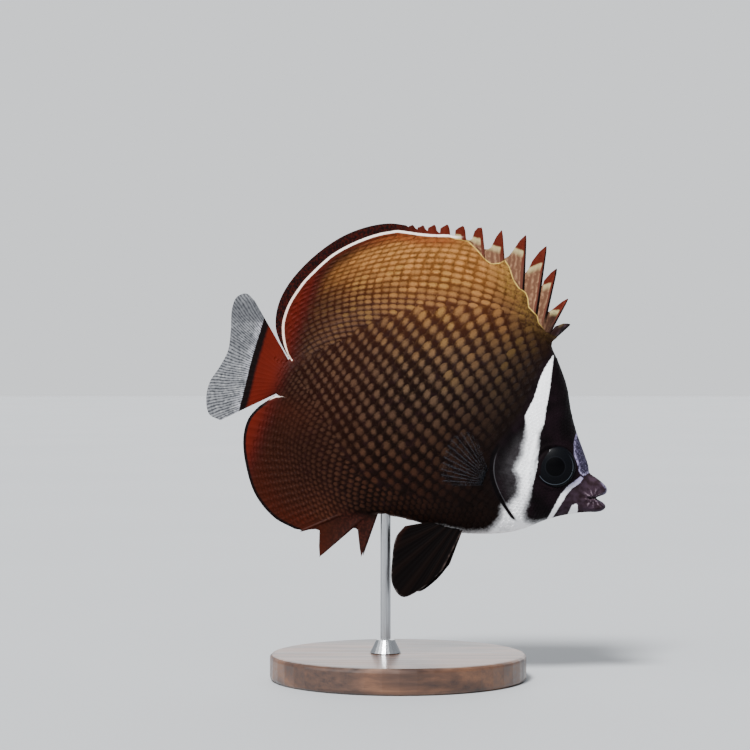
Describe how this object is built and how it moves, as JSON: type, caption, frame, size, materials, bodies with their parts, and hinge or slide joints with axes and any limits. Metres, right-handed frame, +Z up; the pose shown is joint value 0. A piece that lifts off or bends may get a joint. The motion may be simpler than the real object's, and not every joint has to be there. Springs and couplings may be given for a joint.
{
  "type": "redtail butterflyfish on a display stand",
  "caption": "Deep, flat-sided butterflyfish with raised dorsal spines, scaled flanks, banded head and fan tail, held nose down by a rod on a round base.",
  "frame": {"origin": "centre of the underside of the stand's round base", "axes": "+Z up through the base, +X the way the snout points, +Y towards the fish's left flank"},
  "size_m": [0.1564, 0.1, 0.1775],
  "materials": {
    "scaled_brown": "satin scaled skin, gold brown above to dark brown below",
    "head_black": "satin black skin with white bands",
    "lip_mauve": "moist mauve brown skin",
    "fin_brown": "satin scaled membrane with red-brown spines",
    "fin_rust": "satin rust membrane with a dark margin",
    "tail_red": "satin red membrane with a black band and a pale rear part",
    "pelvic_black": "satin black membrane",
    "pectoral_grey": "clear membrane with pale rays",
    "eye_dark": "wet, glossy black eye",
    "stand_wood": "dark stained hardwood, satin",
    "stand_steel": "brushed steel"
  },
  "bodies": {
    "root": {"torso": "scaled_brown", "tail_stalk": "tail_red", "head": "head_black", "upper_jaw": "lip_mauve", "lower_jaw": "lip_mauve", "eye_right": "eye_dark", "eye_left": "eye_dark", "dorsal_fin_spines": "fin_brown", "dorsal_fin_soft": "fin_rust", "anal_fin_spines": "fin_rust", "anal_fin_soft": "fin_rust", "caudal_fin": "tail_red", "pectoral_fin_right": "pectoral_grey", "pectoral_fin_left": "pectoral_grey", "pelvic_fin_right": "pelvic_black", "pelvic_fin_left": "pelvic_black", "stand_base": "stand_wood", "stand_collar": "stand_steel", "stand_rod": "stand_steel"}
  },
  "joints": []
}
